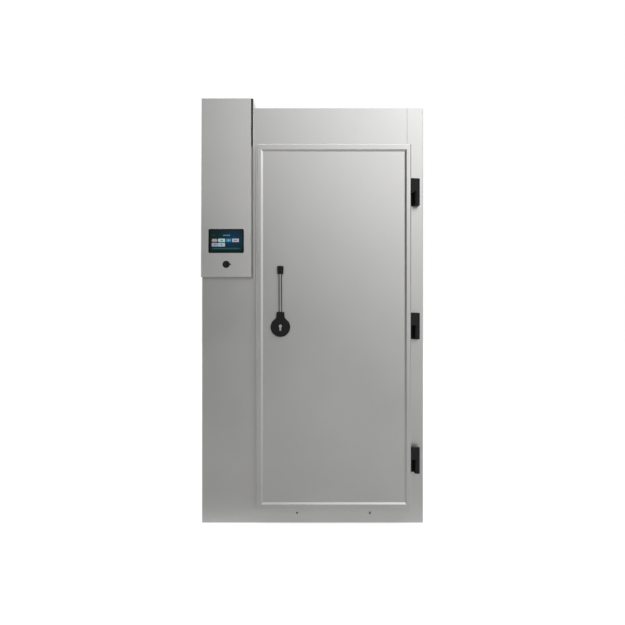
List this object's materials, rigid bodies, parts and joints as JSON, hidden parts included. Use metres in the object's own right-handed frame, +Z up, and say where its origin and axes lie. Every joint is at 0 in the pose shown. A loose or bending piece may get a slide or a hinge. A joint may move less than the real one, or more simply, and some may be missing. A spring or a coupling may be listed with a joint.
{
  "type": "blast chiller",
  "caption": "Roll-in blast chiller: an insulated steel cabinet for a trolley, with an overlapping hinged door, a lever latch, a control fascia and a fan chamber behind a hinged deflector.",
  "frame": {"origin": "middle of the cabinet's base, on the floor", "axes": "+X to the right seen from the front, +Y into the cabinet, +Z up"},
  "size_m": [1.2, 1.2783, 2.34],
  "materials": {
    "cabinet_steel": "fine-ground stainless sheet",
    "door_steel": "fine-ground stainless sheet, pressed",
    "liner_steel": "bright-annealed stainless sheet",
    "floor_steel": "stainless tread sheet",
    "foam": "rigid polyurethane foam",
    "lining_plastic": "extruded plastic profile",
    "seal_rubber": "soft black seal",
    "hinge_plastic": "glass-filled nylon, fine grain",
    "lever_plastic": "moulded nylon, satin",
    "lever_chrome": "plated rod",
    "bright_steel": "machined steel",
    "lock_nickel": "nickel-plated brass",
    "display_glass": "black front glass with a lit tile pattern",
    "display_case": "moulded housing",
    "switch_plastic": "black moulding",
    "board_green": "lacquered circuit board",
    "terminal_grey": "moulded terminals on a zinc rail",
    "gland_grey": "moulded nylon gland",
    "fin_aluminium": "thin fins, mill finish",
    "copper_tube": "bright copper tube",
    "drain_plastic": "grey pipe",
    "motor_black": "black enamel",
    "blade_plastic": "glass-filled fan moulding"
  },
  "bodies": {
    "cabinet": {"base_panel": "cabinet_steel", "left_panel": "cabinet_steel", "right_panel": "cabinet_steel", "rear_panel": "cabinet_steel", "roof_panel": "cabinet_steel", "front_panel": "cabinet_steel", "header_panel": "cabinet_steel", "ramp_inserts": "bright_steel", "floor_foam": "foam", "roof_foam": "foam", "side_foam": "foam", "rear_foam": "foam", "front_foam": "foam", "inner_liner": "liner_steel", "floor_plate": "floor_steel", "opening_frame": "lining_plastic", "trolley_guides": "liner_steel", "keeper": "bright_steel", "hinge_frame_halves": "hinge_plastic", "hinge_pins": "bright_steel", "control_fascia": "cabinet_steel", "service_cover": "cabinet_steel", "display_glass": "display_glass", "display_housing": "display_case", "switch_body": "switch_plastic", "control_board": "board_green", "terminal_rail": "terminal_grey", "cable_gland": "gland_grey", "evaporator_fins": "fin_aluminium", "evaporator_end_plates": "liner_steel", "return_bends": "copper_tube", "suction_pipe": "copper_tube", "liquid_pipe": "copper_tube", "drip_tray": "liner_steel", "drain_pipe": "drain_plastic", "deflector_pivots": "liner_steel", "deflector_stops": "liner_steel"},
    "door": {"door_outer_skin": "door_steel", "door_edge_trim": "lining_plastic", "door_foam": "foam", "door_inner_skin": "liner_steel", "door_gasket": "seal_rubber", "hinge_door_halves": "hinge_plastic", "lever_rosette": "lever_plastic"},
    "lever": {"lever_hub": "lever_plastic", "lever_rod": "lever_chrome", "lever_grip": "lever_plastic", "lever_spindle": "bright_steel", "catch_arm": "bright_steel", "release_knob": "lever_plastic", "lock_cylinder": "lock_nickel"},
    "lock": {"lock_plug": "lock_nickel"},
    "switch": {"switch_knob": "switch_plastic"},
    "deflector": {"fan_deflector": "liner_steel", "deflector_screws": "bright_steel", "fan_motors": "motor_black"},
    "fan_bottom": {"fan_impeller_bottom": "blade_plastic"},
    "fan_middle": {"fan_impeller_middle": "blade_plastic"},
    "fan_top": {"fan_impeller_top": "blade_plastic"}
  },
  "joints": [
    {"name": "door_swing", "type": "hinge", "parent": "cabinet", "child": "door", "pos_m": [0.562, -0.611, 1.069], "axis": [0, 0, 1], "range_deg": [0, 180]},
    {"name": "lever_turn", "type": "hinge", "parent": "door", "child": "lever", "pos_m": [-0.171, -0.63, 1.063], "axis": [0, 1, 0], "range_deg": [0, 90]},
    {"name": "lock_turn", "type": "hinge", "parent": "lever", "child": "lock", "pos_m": [-0.171, -0.65, 1.068], "axis": [0, 1, 0], "range_deg": [0, 90]},
    {"name": "switch_turn", "type": "hinge", "parent": "cabinet", "child": "switch", "pos_m": [-0.4645, -0.59982, 1.4], "axis": [0, 0.9995, -0.032], "range_deg": [-90, 0]},
    {"name": "deflector_swing", "type": "hinge", "parent": "cabinet", "child": "deflector", "pos_m": [-0.277, 0.428, 1.137], "axis": [0, 0, 1], "range_deg": [0, 60]},
    {"name": "fan_spin_bottom", "type": "hinge", "parent": "deflector", "child": "fan_bottom", "pos_m": [-0.3, 0, 0.517], "axis": [1, 0, 0], "continuous": true},
    {"name": "fan_spin_middle", "type": "hinge", "parent": "deflector", "child": "fan_middle", "pos_m": [-0.3, 0, 1.137], "axis": [1, 0, 0], "continuous": true},
    {"name": "fan_spin_top", "type": "hinge", "parent": "deflector", "child": "fan_top", "pos_m": [-0.3, 0, 1.757], "axis": [1, 0, 0], "continuous": true}
  ]
}
